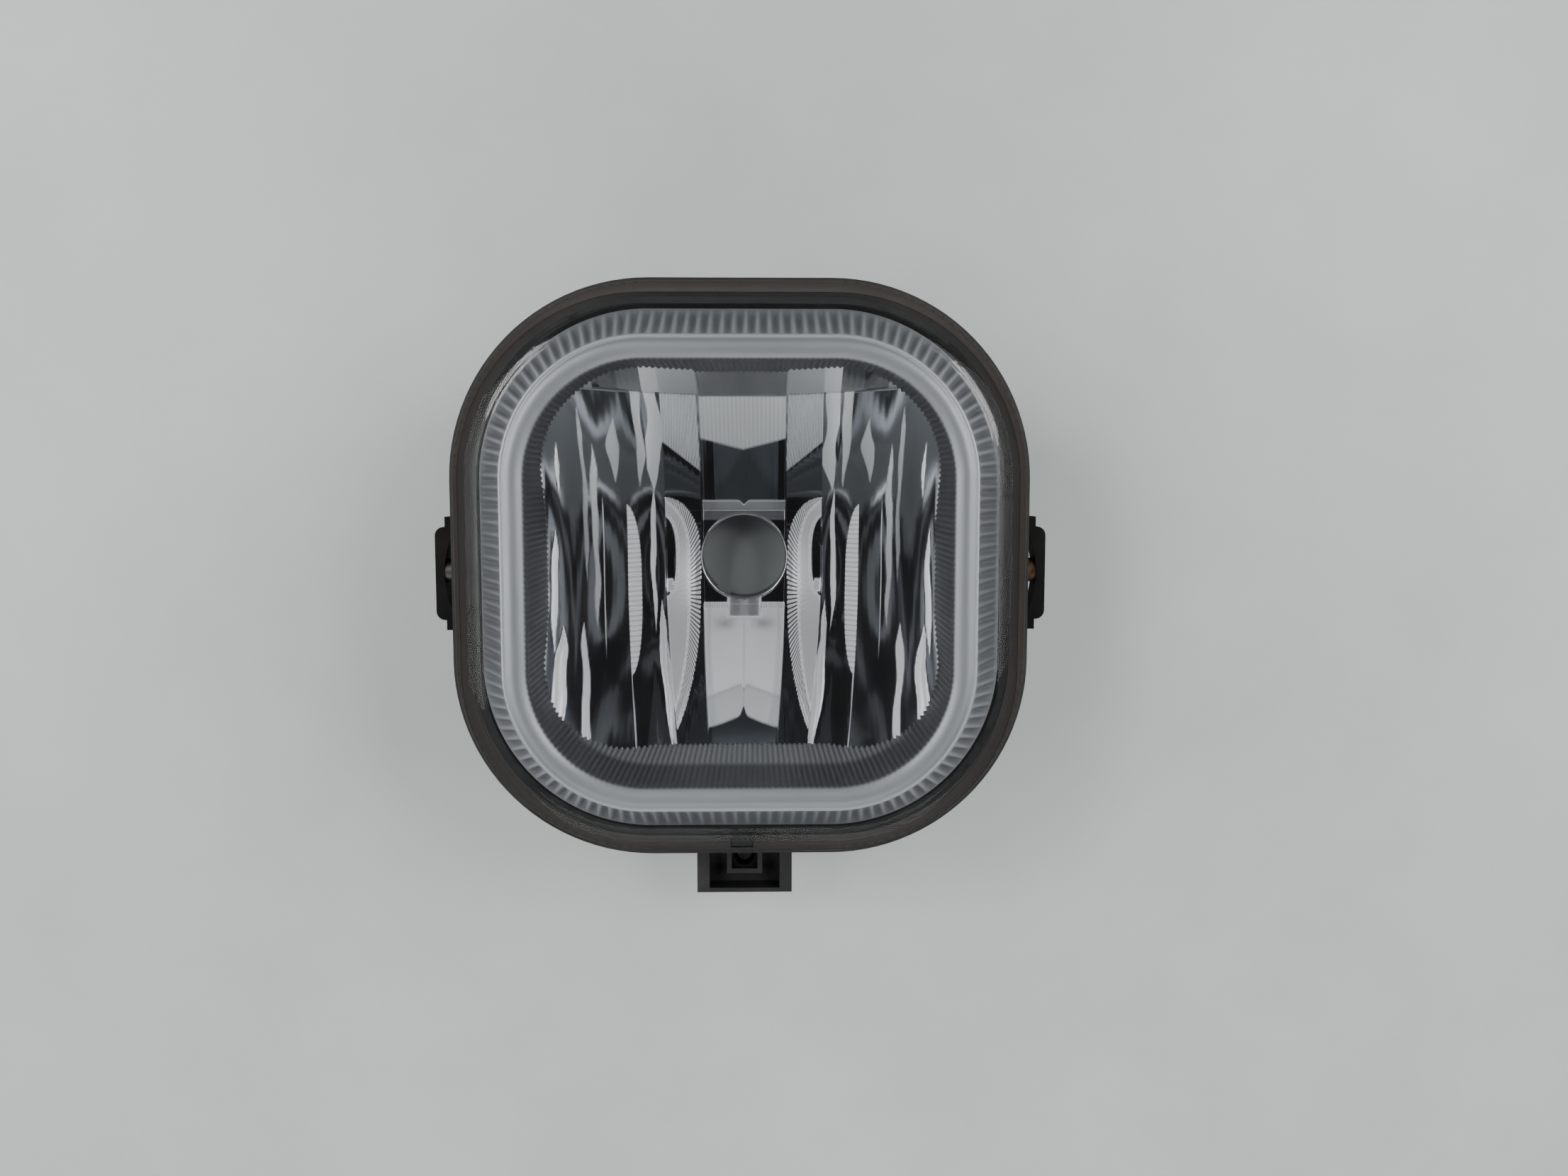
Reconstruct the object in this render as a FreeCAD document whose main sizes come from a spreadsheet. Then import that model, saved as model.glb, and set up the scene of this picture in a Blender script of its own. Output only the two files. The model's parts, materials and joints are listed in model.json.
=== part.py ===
import FreeCAD, Part
import math
import os
import Sketcher

# Rounded-square fog lamp, lying on the rear end of its neck, in millimetres.
# The origin is on the bulb axis, at the rear end of the neck.
# +Z is the optical axis towards the lens, +Y is the lamp's top edge and +X its right side from the front.

os.makedirs("parts", exist_ok=True)
document = FreeCAD.newDocument("FogLamp")

DRIVING_SIZES = (
    ("outline_half", 56.0, "half width of the lamp's outline"),
    ("corner_radius", 38.5, "corner radius of the lamp's outline"),
    ("lip", 0.6, "thickness of the shell's lip around the lens flange"),
    ("flange_front", 58.0, "level of the lens flange's front face"),
    ("lens_flange", 2.6, "thickness of the lens flange"),
    ("rim_width", 3.6, "lip and lens flange outside the lens wall"),
    ("lens_wall", 2.0, "wall of the lens"),
    ("lens_rise", 18.6, "rise of the lens crown above its flange"),
    ("lens_draft", 1.5, "how far the lens wall leans in up to its crown"),
    ("crown_radius", 600.0, "spherical radius of the lens front"),
    ("bead", 0.8, "thickness of the sealing bead"),
    ("bead_outer", 52.7, "half width outside the sealing bead"),
    ("bead_inner", 51.4, "half width inside the sealing bead"),
    ("shell_wall", 2.4, "wall of the rear shell"),
    ("shell_flange", 4.2, "thickness of the rear shell's flange"),
    ("shell_half", 53.6, "half width of the rear shell behind its flange"),
    ("bezel_base", 49.9, "half width of the bezel's foot"),
    ("bezel_crest", 44.2, "half width of the bezel's crest, outside"),
    ("bezel_throat", 39.1, "half width of the bezel's opening"),
    ("bezel_rise", 16.7, "height of the bezel"),
    ("bezel_wall", 1.8, "wall of the bezel"),
    ("mirror_wall", 1.5, "wall of the reflector"),
    ("mirror_rim", 50.4, "half width of the reflector's rim"),
    ("mirror_mouth", 39.9, "half width of the reflector's mouth"),
    ("mirror_floor", 12.2, "level of the reflector's floor"),
    ("mirror_hole", 9.4, "radius of the reflector's bulb hole"),
    ("neck_radius", 17.0, "outer radius of the neck"),
    ("neck_seat", 13.0, "radius of the collar's seat in the neck"),
    ("neck_passage", 10.8, "radius of the passage above the collar"),
    ("collar_depth", 6.0, "depth of the collar's seat"),
    ("socket_radius", 10.0, "radius of the bulb socket"),
    ("pivot_level", 48.5, "level of the aiming pivots"),
    ("pivot_drop", 0.4, "pivots below the bulb axis"),
    ("pin_radius", 2.4, "radius of the pivot pins"),
    ("pin_root", 52.0, "inner end of a pivot pin"),
    ("pin_tip", 60.7, "outer end of a pivot pin"),
    ("boss_end", 56.3, "outer end of a pivot boss"),
    ("boss_radius", 5.2, "radius of a pivot boss"),
    ("washer_radius", 4.2, "radius of a pivot washer"),
    ("shoe_foot", 57.2, "inner end of a pivot shoe's legs"),
    ("shoe_step", 58.8, "outer face of a pivot shoe's base"),
    ("shoe_face", 60.8, "outer face of a pivot shoe's pad"),
    ("shoe_width", 22.6, "length of a pivot shoe's base along the lamp's side"),
    ("pad_width", 18.6, "length of a pivot shoe's pad along the lamp's side"),
    ("shoe_depth", 5.0, "depth of a pivot shoe along the optical axis"),
    ("shoe_drop", 0.9, "middle of a pivot shoe below the bulb axis"),
    ("arch_radius", 20.0, "radius of the hollow in a pivot shoe's back"),
    ("arch_top", 59.0, "deepest place of that hollow"),
    ("running_gap", 0.05, "radial clearance of a running fit"),
    ("screw_drop", 68.2, "aiming screw below the bulb axis"),
    ("screw_radius", 2.4, "outer radius of the aiming screw's thread"),
    ("screw_tip", 18.5, "front end of the aiming screw"),
    ("screw_head", 3.5, "rear end of the aiming screw's head"),
    ("lug_half", 10.8, "half width of the adjuster lug"),
    ("lug_end", 76.4, "lower end of the adjuster lug"),
    ("lug_back", 13.4, "rear face of the adjuster lug"),
    ("lug_front", 22.0, "front face of the adjuster lug"),
    ("nut_side", 5.9, "side of the square adjuster nut"),
    ("fixing_place", 36.35, "reflector screws from each middle plane"),
    ("vent_place_x", 27.0, "breathers to each side of the bulb axis"),
    ("vent_place_y", 28.0, "breathers above the bulb axis"),
)

# Stations of the rear shell and the reflector, from front to rear:
# level, half width and half length of the straight part of each side.
SHELL_STATIONS = ((38.0, 51.2, 16.0), (24.0, 44.0, 11.0), (6.0, 26.0, 4.0))
MIRROR_STATIONS = ((40.0, 38.8, 16.5), (25.0, 33.0, 12.0))
RIB_STATIONS = ((3.0, 22.0, 3.0), (6.0, 27.6, 4.0), (24.0, 45.6, 11.0), (38.0, 52.6, 16.0))
MIRROR_BACK_HALF = 20.0
MIRROR_BACK_FLAT = 6.0
SHELL_FLOOR = 8.9

PAST = 1.0              # how far a cutting tool runs past the face that it opens
LIP_STEP = 0.4          # lip's edge behind the lens flange's front face
KEY_HALF = 2.0          # half width of the shell's key at the bottom centre
KEY_GAP = 0.2           # clearance of that key in the lens flange
KEY_ROOT = 52.6         # inner end of the key, from the bulb axis
SHANK_RADIUS = 1.5      # reflector screws
SHANK_LENGTH = 11.0
HEAD_RADIUS = 2.6
HEAD_HEIGHT = 2.0
POST_RADIUS = 2.6       # posts that take these screws
POST_FOOT = 24.0
LUG_WALL = 2.8          # side walls of the adjuster lug, and its webs
LUG_END_WALL = 1.0
SEAT_DEPTH = 1.2        # seat of the nut's flange in the lug
BOSS_ROOT = 40.0        # inner end of a pivot boss, inside the shell's wall
WEB_HALF = 1.2          # half thickness of the web under a pivot boss
RIB_THICKNESS = 2.0
RIB_ANGLES = (0, 22.5, 67.5, 90, 112.5, 157.5, 180, 210, 240, 300, 330)
NIPPLE_RADIUS = 3.6     # breather nipples and their bore
NIPPLE_BORE = 2.0
WASHER_THICKNESS = 0.8

FRONT = FreeCAD.Vector(0, 0, 1)
AXIS_X = FreeCAD.Vector(1, 0, 0)
AXIS_Y = FreeCAD.Vector(0, 1, 0)


class Size:
    """A length with its number and the sheet expression that gives it."""

    def __init__(self, number, text):
        self.number = number
        self.text = text

    def __neg__(self):
        return Size(-self.number, f"-({self.text})")

    def __add__(self, other):
        other = as_size(other)
        return Size(self.number + other.number, f"({self.text} + {other.text})")

    def __sub__(self, other):
        other = as_size(other)
        return Size(self.number - other.number, f"({self.text} - {other.text})")

    def __mul__(self, factor):
        return Size(self.number * factor, f"({self.text} * {factor})")


def as_size(value):
    """A plain number counts as a size too."""
    if isinstance(value, Size):
        return value
    return Size(float(value), f"({value})")


def make_sheet():
    """The sheet of driving sizes, and each size by its name."""
    sheet = document.addObject("Spreadsheet::Sheet", "Sizes")
    sizes = {}
    for row, (name, number, note) in enumerate(DRIVING_SIZES, start=1):
        sheet.set(f"A{row}", name)
        sheet.set(f"B{row}", str(number))
        sheet.set(f"C{row}", note)
        sheet.setAlias(f"B{row}", name)
        sizes[name] = Size(number, f"Sizes.{name}")
    document.recompute()
    return sizes


SIZES = make_sheet()
FLAT = SIZES["outline_half"] - SIZES["corner_radius"]
LENS_BACK = SIZES["flange_front"] - SIZES["lens_flange"]
SHELL_FRONT = LENS_BACK - SIZES["bead"]
SHELL_BACK = SHELL_FRONT - SIZES["shell_flange"]
RIM_FRONT = SHELL_FRONT + 0.2
CROWN = SIZES["flange_front"] + SIZES["lens_rise"]


def bind(item, name, size):
    """Set a property of an object and tie it to the sheet."""
    item.setExpression(name, as_size(size).text)


def place(item, x=0.0, y=0.0, z=0.0, axis=FRONT, angle=0.0):
    """Put an object at sheet-driven coordinates, turned about an axis by an angle in degrees."""
    spot = [as_size(value) for value in (x, y, z)]
    base = FreeCAD.Vector(*[value.number for value in spot])
    item.Placement = FreeCAD.Placement(base, FreeCAD.Rotation(axis, angle))
    for letter, value in zip("xyz", spot):
        bind(item, f"Placement.Base.{letter}", value)
    return item


def pin_point(sketch, geometry, vertex, x, y):
    """Hold one vertex of a sketch at sheet-driven coordinates."""
    for kind, axis, size in (("DistanceX", -2, x), ("DistanceY", -1, y)):
        size = as_size(size)
        if size.number == 0.0:
            sketch.addConstraint(Sketcher.Constraint("PointOnObject", geometry, vertex, axis))
            continue
        index = sketch.addConstraint(Sketcher.Constraint(kind, -1, 1, geometry, vertex, size.number))
        sketch.setExpression(f"Constraints[{index}]", size.text)


def draw_polygon(sketch, corners):
    """Closed polygon through sheet-driven corners."""
    points = [FreeCAD.Vector(as_size(x).number, as_size(y).number, 0) for x, y in corners]
    count = len(points)
    lines = [Part.LineSegment(points[i], points[(i + 1) % count]) for i in range(count)]
    sketch.addGeometry(lines)
    for i in range(count):
        sketch.addConstraint(Sketcher.Constraint("Coincident", i, 2, (i + 1) % count, 1))
    for i, (x, y) in enumerate(corners):
        pin_point(sketch, i, 1, x, y)
    return sketch


def draw_rounded_square(sketch, half, flat):
    """Rounded square of a half width, whose sides are straight over twice the flat."""
    half = as_size(half)
    flat = as_size(flat)
    radius = half - flat
    signs = ((1, 1), (-1, 1), (-1, -1), (1, -1))
    for i, (side, rise) in enumerate(signs):
        start = math.radians(90 * i)
        centre = FreeCAD.Vector(side * flat.number, rise * flat.number, 0)
        circle = Part.Circle(centre, FRONT, radius.number)
        arc = sketch.addGeometry(Part.ArcOfCircle(circle, start, start + math.pi / 2))
        pin_point(sketch, arc, 3, flat * side, flat * rise)
        index = sketch.addConstraint(Sketcher.Constraint("Radius", arc, radius.number))
        sketch.setExpression(f"Constraints[{index}]", radius.text)
    for i in range(4):
        ending = sketch.getPoint(i, 2)
        starting = sketch.getPoint((i + 1) % 4, 1)
        line = sketch.addGeometry(Part.LineSegment(ending, starting))
        sketch.addConstraint(Sketcher.Constraint("Tangent", i, 2, line, 1))
        sketch.addConstraint(Sketcher.Constraint("Tangent", line, 2, (i + 1) % 4, 1))
    return sketch


def section(half, flat, level):
    """Rounded-square section at a level."""
    sketch = document.addObject("Sketcher::SketchObject", "Section")
    draw_rounded_square(sketch, half, flat)
    return place(sketch, z=level)


def loft(stations, ruled=True):
    """Solid through rounded-square stations, each a level, a half width and a flat."""
    solid = document.addObject("Part::Loft", "Loft")
    solid.Sections = [section(half, flat, level) for level, half, flat in stations]
    solid.Solid = True
    solid.Ruled = ruled
    return solid


def slab(half, low, high, flat=FLAT):
    """Upright rounded-square block between two levels."""
    return loft(((low, half, flat), (high, half, flat)))


def cylinder(radius, length, x=0.0, y=0.0, z=0.0, axis=FRONT, angle=0.0):
    """Cylinder that starts at a point and runs along its own turned Z axis."""
    solid = document.addObject("Part::Cylinder", "Cylinder")
    bind(solid, "Radius", radius)
    bind(solid, "Height", length)
    return place(solid, x, y, z, axis, angle)


def block(low, high):
    """Box between two sheet-driven corners."""
    low = [as_size(value) for value in low]
    high = [as_size(value) for value in high]
    solid = document.addObject("Part::Box", "Block")
    for name, start, end in zip(("Length", "Width", "Height"), low, high):
        bind(solid, name, end - start)
    return place(solid, *low)


def combine(kind, name, items):
    """Fuse, cut or intersect two or more objects."""
    result = items[0]
    for item in items[1:]:
        step = document.addObject(f"Part::{kind}", name)
        step.Base = result
        step.Tool = item
        result = step
    return result


def cut(name, base, *tools):
    return combine("Cut", name, (base,) + tools)


def fuse(name, *items):
    return combine("Fuse", name, items)


def common(name, base, tool):
    return combine("Common", name, (base, tool))


def round_edges(name, base, radius, wanted):
    """Fillet the edges of an object whose centre of mass is wanted."""
    document.recompute()
    edges = [i for i, edge in enumerate(base.Shape.Edges, start=1) if wanted(edge.CenterOfMass)]
    fillet = document.addObject("Part::Fillet", name)
    fillet.Base = base
    fillet.Edges = [(i, radius, radius) for i in edges]
    return fillet


def origin_plane(body, role):
    return [item for item in body.Origin.OriginFeatures if item.Role == role][0]


def new_body(name, role):
    """Empty body with one sketch on one of its origin planes."""
    body = document.addObject("PartDesign::Body", name)
    sketch = body.newObject("Sketcher::SketchObject", f"{name}_profile")
    sketch.AttachmentSupport = [(origin_plane(body, role), "")]
    sketch.MapMode = "FlatFace"
    return body, sketch


def turned(name, profile):
    """Body turned about its own Z axis from a closed profile of radius and height."""
    body, sketch = new_body(name, "XZ_Plane")
    draw_polygon(sketch, profile)
    turning = body.newObject("PartDesign::Revolution", f"{name}_turning")
    turning.Profile = sketch
    turning.ReferenceAxis = (sketch, ["V_Axis"])
    turning.Angle = 360.0
    return body


def pocket_slots(body, name, profile, depth, count):
    """Cut a ring of equal slots through a turned body, from its rear face forwards."""
    sketch = body.newObject("Sketcher::SketchObject", f"{name}_slot")
    sketch.AttachmentSupport = [(origin_plane(body, "XY_Plane"), "")]
    sketch.MapMode = "FlatFace"
    draw_polygon(sketch, profile)
    document.recompute()
    pocket = body.newObject("PartDesign::Pocket", f"{name}_pocket")
    pocket.Profile = sketch
    pocket.Reversed = True
    pocket.setExpression("Length", as_size(depth).text)
    document.recompute()
    pattern = body.newObject("PartDesign::PolarPattern", f"{name}_pattern")
    pattern.Originals = [pocket]
    pattern.Axis = (sketch, ["N_Axis"])
    pattern.Angle = 360.0
    pattern.Occurrences = count
    body.Tip = pattern
    return body


def front_lens():
    """Clear cup lens with a flat flange and a gently crowned front."""
    root_half = SIZES["outline_half"] - SIZES["rim_width"]
    top_half = root_half - SIZES["lens_draft"]
    base = SIZES["flange_front"]
    ball = document.addObject("Part::Sphere", "CrownBall")
    bind(ball, "Radius", SIZES["crown_radius"])
    place(ball, z=CROWN - SIZES["crown_radius"])
    cup = loft(((base - PAST, root_half, FLAT), (CROWN + PAST, top_half, FLAT)))
    outside = round_edges("LensShoulder", common("LensCrown", cup, ball), 5.0, lambda spot: spot.z > 68)
    flange = slab(SIZES["outline_half"] - SIZES["lip"], LENS_BACK, base)
    flanged = fuse("LensFlanged", flange, outside)
    inner_ball = document.addObject("Part::Sphere", "InnerBall")
    bind(inner_ball, "Radius", SIZES["crown_radius"])
    place(inner_ball, z=CROWN - SIZES["lens_wall"] - SIZES["crown_radius"])
    wall = SIZES["lens_wall"]
    hollow = loft(((LENS_BACK - PAST, root_half - wall, FLAT), (CROWN + PAST, top_half - wall, FLAT)))
    inside = common("LensInside", hollow, inner_ball)
    inside = round_edges("LensHollow", inside, 3.0, lambda spot: spot.z > 68)
    notch_half = KEY_HALF + KEY_GAP
    notch_end = SIZES["outline_half"] - 1.4 + KEY_GAP
    notch = block((-notch_half, -notch_end, LENS_BACK - PAST), (notch_half, -root_half, base + PAST))
    return cut("front_lens", flanged, inside, notch)


def lens_bead():
    """Sealing bead between the lens flange and the shell flange."""
    low = SHELL_FRONT
    outer = slab(SIZES["bead_outer"], low, LENS_BACK)
    inner = slab(SIZES["bead_inner"], low - PAST, CROWN)
    gap_half = KEY_HALF + KEY_GAP
    gap = block((-gap_half, -SIZES["outline_half"], low - PAST), (gap_half, -50, CROWN))
    return cut("lens_bead", cut("BeadRing", outer, inner), gap)


def bezel_ring():
    """Metallised trim ring: a leaning flank, a rounded crest and a steep throat, hollow underneath."""
    foot = RIM_FRONT
    crest = foot + SIZES["bezel_rise"]
    wall = SIZES["bezel_wall"]
    body = loft(((foot, SIZES["bezel_base"], FLAT), (crest, SIZES["bezel_crest"], FLAT)))
    throat = slab(SIZES["bezel_throat"], foot - PAST, crest + PAST)
    ring = round_edges("BezelCrest", cut("BezelRing", body, throat), 2.2, lambda spot: spot.z > 71)
    hollow_foot = (foot - 0.01, SIZES["bezel_base"] - wall, FLAT)
    hollow_top = (crest - wall, SIZES["bezel_crest"] - wall, FLAT)
    inner = slab(SIZES["bezel_throat"] + wall, foot - PAST, crest)
    return cut("bezel_ring", ring, cut("BezelHollow", loft((hollow_foot, hollow_top)), inner))


def fixing_spots():
    """Centres of the reflector's four screws."""
    reach = SIZES["fixing_place"]
    return [(reach * side, reach * rise) for side in (1, -1) for rise in (1, -1)]


def reflector():
    """Aluminised bowl with a flat rim and a round bulb hole."""
    rim_low = RIM_FRONT - SIZES["mirror_wall"]
    wall = SIZES["mirror_wall"]
    mouth = SIZES["mirror_mouth"]
    floor = SIZES["mirror_floor"]
    outside = [(rim_low, mouth + wall, FLAT)]
    inside = [(rim_low, mouth, FLAT)]
    for level, half, flat in MIRROR_STATIONS:
        outside.append((level, wall + half, flat))
        inside.append((level, half, flat))
    outside.append((floor - wall, wall + MIRROR_BACK_HALF, MIRROR_BACK_FLAT))
    inside.append((floor, MIRROR_BACK_HALF, MIRROR_BACK_FLAT))
    rim = slab(SIZES["mirror_rim"], rim_low, RIM_FRONT)
    body = fuse("MirrorBody", loft(outside, ruled=False), rim)
    mouth_cut = slab(mouth, rim_low, RIM_FRONT + PAST)
    hole = cylinder(SIZES["mirror_hole"], floor + PAST)
    screw_holes = [cylinder(SHANK_RADIUS + 0.2, 20, x, y, RIM_FRONT - 10) for x, y in fixing_spots()]
    return cut("reflector", body, loft(inside, ruled=False), mouth_cut, hole, *screw_holes)


def shell_stations(gap):
    """Stations of the rear shell, moved in by a gap."""
    front_half = SIZES["shell_half"] - gap
    stations = [(SHELL_BACK, front_half, FLAT)]
    for level, half, flat in SHELL_STATIONS:
        stations.append((level, as_size(half) - gap, flat))
    return stations


def shell_hollow():
    """Inside of the rear shell."""
    stations = shell_stations(SIZES["shell_wall"])
    _, half, flat = stations[-1]
    stations[-1] = (SHELL_FLOOR, half, flat)
    bowl = loft(stations, ruled=False)
    mouth = slab(SIZES["shell_half"] - SIZES["shell_wall"], SHELL_BACK, SHELL_FRONT + PAST)
    return fuse("ShellHollow", bowl, mouth)


def shell_envelope():
    """Outside of the rear shell without its flange."""
    return loft(shell_stations(as_size(0.0)), ruled=False)


def adjuster_lug():
    """Arm under the shell that ends in an open box, with a square nut socket standing in it."""
    half = SIZES["lug_half"]
    back = SIZES["lug_back"]
    front = SIZES["lug_front"]
    end = -SIZES["lug_end"]
    centre = -SIZES["screw_drop"]
    arm = block((-half, end, back), (half, -30, front))
    recess_half = half - LUG_WALL
    recess = block((-recess_half, end + LUG_END_WALL, back + 3.5), (recess_half, -58, front + PAST))
    rim = SIZES["nut_side"] * 0.5 + 1.1
    socket = block((-rim, centre - rim, back), (rim, centre + rim, front - 0.8))
    box = fuse("LugBox", cut("LugRecess", arm, recess), socket)
    webs = [lug_web(start) for start in (-half, recess_half)]
    return fuse("AdjusterLug", box, *webs)


def lug_web(start):
    """Upright web between the lug's arm and the shell's flange."""
    body, sketch = new_body("LugWeb", "YZ_Plane")
    front = SIZES["lug_front"]
    corners = ((-34, front - 1), (-60, front - 1), (-54.5, SHELL_BACK + 1), (-50, SHELL_BACK + 1))
    draw_polygon(sketch, corners)
    pad = body.newObject("PartDesign::Pad", "LugWebPad")
    pad.Profile = sketch
    pad.Length = LUG_WALL
    return place(body, x=start)


def socket_hole():
    """Square hole through the lug, with a wider square seat for the nut's flange at the rear."""
    centre = -SIZES["screw_drop"]
    half = SIZES["nut_side"] * 0.5
    seat = half + 1.6
    hole = block((-half, centre - half, 0), (half, centre + half, 40))
    rear = block((-seat, centre - seat, 0), (seat, centre + seat, SIZES["lug_back"] + SEAT_DEPTH))
    return fuse("SocketHole", hole, rear)


def pivot_boss(side):
    """Round boss on one side of the shell, with an upright web behind it."""
    length = SIZES["boss_end"] - BOSS_ROOT
    start = -SIZES["boss_end"] if side < 0 else as_size(BOSS_ROOT)
    y = -SIZES["pivot_drop"]
    z = SIZES["pivot_level"]
    boss = cylinder(SIZES["boss_radius"], length, start, y, z, AXIS_Y, 90)
    end = SIZES["boss_end"] - 2.0
    low = -end if side < 0 else as_size(BOSS_ROOT)
    high = as_size(-BOSS_ROOT) if side < 0 else end
    web = block((low, y - WEB_HALF, z - 12), (high, y + WEB_HALF, SHELL_BACK + 1))
    return fuse("PivotBoss", boss, web)


def pin_hole(side):
    """Blind seat of one pivot pin."""
    length = SIZES["boss_end"] - SIZES["pin_root"] + PAST
    start = -SIZES["boss_end"] - PAST if side < 0 else SIZES["pin_root"]
    y = -SIZES["pivot_drop"]
    return cylinder(SIZES["pin_radius"], length, start, y, SIZES["pivot_level"], AXIS_Y, 90)


def neck_ribs():
    """Stiffening ribs that fan out from the neck over the back of the shell."""
    ribs = []
    for angle in RIB_ANGLES:
        rib = document.addObject("Part::Box", "Rib")
        rib.Length = 48.0
        rib.Width = RIB_THICKNESS
        rib.Height = 40.0
        turn = FreeCAD.Rotation(FRONT, angle)
        corner = FreeCAD.Vector(0, -RIB_THICKNESS / 2, RIB_STATIONS[0][0])
        rib.Placement = FreeCAD.Placement(turn.multVec(corner), turn)
        ribs.append(rib)
    fan = fuse("RibFan", *ribs)
    limit = loft(RIB_STATIONS + ((45.0, 53.6, FLAT),), ruled=False)
    return common("NeckRibs", fan, limit)


def housing():
    """Black rear shell with its flange, neck, pivot bosses, adjuster lug and breather nipples."""
    lip_top = SIZES["flange_front"] - LIP_STEP
    flange = slab(SIZES["outline_half"], SHELL_BACK, lip_top)
    flange = round_edges("ShellFlange", flange, 0.8, lambda spot: abs(spot.z - SHELL_BACK.number) < 0.01)
    lens_seat = slab(SIZES["outline_half"] - SIZES["lip"], SHELL_FRONT, lip_top + PAST)
    flange = cut("SeatedFlange", flange, lens_seat)
    neck = cylinder(SIZES["neck_radius"], 9.5)
    collar_ring = cylinder(SIZES["neck_radius"] + 1.4, 4.5, z=4.5)
    key_end = SIZES["outline_half"] - 1.4
    key = block((-KEY_HALF, -key_end, SHELL_FRONT - 1), (KEY_HALF, -KEY_ROOT, lip_top))
    vent_spots = [(SIZES["vent_place_x"] * side, SIZES["vent_place_y"]) for side in (1, -1)]
    nipples = [cylinder(NIPPLE_RADIUS, 20, x, y, 6.0) for x, y in vent_spots]
    outside = fuse(
        "ShellOutside",
        shell_envelope(),
        flange,
        neck,
        collar_ring,
        adjuster_lug(),
        pivot_boss(1),
        pivot_boss(-1),
        neck_ribs(),
        *nipples,
    )
    bores = [
        cylinder(SIZES["neck_seat"], SIZES["collar_depth"] + PAST, z=-PAST),
        cylinder(SIZES["neck_passage"], 14, z=0),
        pin_hole(1),
        pin_hole(-1),
        socket_hole(),
    ]
    shell = cut("ShellCut", outside, shell_hollow(), *bores)
    post_length = RIM_FRONT - SIZES["mirror_wall"] - POST_FOOT
    posts = [cylinder(POST_RADIUS, post_length, x, y, POST_FOOT) for x, y in fixing_spots()]
    posts = common("FixingPosts", fuse("Posts", *posts), shell_envelope())
    openings = [cylinder(SHANK_RADIUS, 14, x, y, 41) for x, y in fixing_spots()]
    openings += [cylinder(NIPPLE_BORE, 22, x, y, 5.0) for x, y in vent_spots]
    return cut("housing", fuse("ShellWhole", shell, posts, key), *openings)


def neck_gasket():
    """Soft ring between the reflector's floor and the shell's floor."""
    top = SIZES["mirror_floor"] - SIZES["mirror_wall"]
    low = as_size(SHELL_FLOOR)
    return turned("neck_gasket", ((11.2, low), (15.0, low), (15.0, top), (11.2, top)))


def bulb_collar():
    """Heat-proof socket ring in the neck, with three slots for the bulb's tabs."""
    inner = SIZES["socket_radius"]
    outer = SIZES["neck_seat"]
    depth = SIZES["collar_depth"]
    ring = turned("bulb_collar", ((inner, 0), (outer, 0), (outer, depth), (inner, depth)))
    reach = 1.5
    half = 1.9
    slot = ((inner - reach, -half), (inner + reach, -half), (inner + reach, half), (inner - reach, half))
    return pocket_slots(ring, "bulb_collar", slot, depth + PAST, 3)


def reflector_screws():
    """Four pan-head screws through the reflector's rim, as separate solids."""
    screws = []
    long = 1.3
    short = 0.35
    low = RIM_FRONT + HEAD_HEIGHT * 0.5
    high = RIM_FRONT + HEAD_HEIGHT + PAST
    for x, y in fixing_spots():
        shank = cylinder(SHANK_RADIUS, SHANK_LENGTH, x, y, RIM_FRONT - SHANK_LENGTH)
        head = cylinder(HEAD_RADIUS, HEAD_HEIGHT, x, y, RIM_FRONT)
        head = round_edges("ScrewHead", head, 0.8, lambda spot: spot.z > low.number + 0.5)
        recess = block((x - long, y - short, low), (x + long, y + short, high))
        cross = block((x - short, y - long, low), (x + short, y + long, high))
        screws.append(cut("Screw", fuse("ScrewBody", shank, head), recess, cross))
    group = document.addObject("Part::Compound", "reflector_screws")
    group.Links = screws
    return group


def on_pivot(side, item, reach):
    """Put a turned piece on one pivot's axis, its foot at a reach from the bulb axis."""
    return place(item, reach * side, -SIZES["pivot_drop"], SIZES["pivot_level"], AXIS_Y, 90 * side)


def pivot_pin(side, name):
    """Headless steel pin, pressed into the boss, with a chamfered outer end."""
    radius = SIZES["pin_radius"]
    length = SIZES["pin_tip"] - SIZES["pin_root"]
    chamfer = 0.5
    profile = ((0, 0), (radius, 0), (radius, length - chamfer), (radius - chamfer, length), (0, length))
    return on_pivot(side, turned(name, profile), SIZES["pin_root"])


def pivot_washer(side, name):
    """Thin washer on the pin, between the boss and the shoe."""
    inner = SIZES["pin_radius"]
    outer = SIZES["washer_radius"]
    top = WASHER_THICKNESS
    profile = ((inner, 0), (outer, 0), (outer, top), (inner, top))
    return on_pivot(side, turned(name, profile), SIZES["boss_end"])


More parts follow.
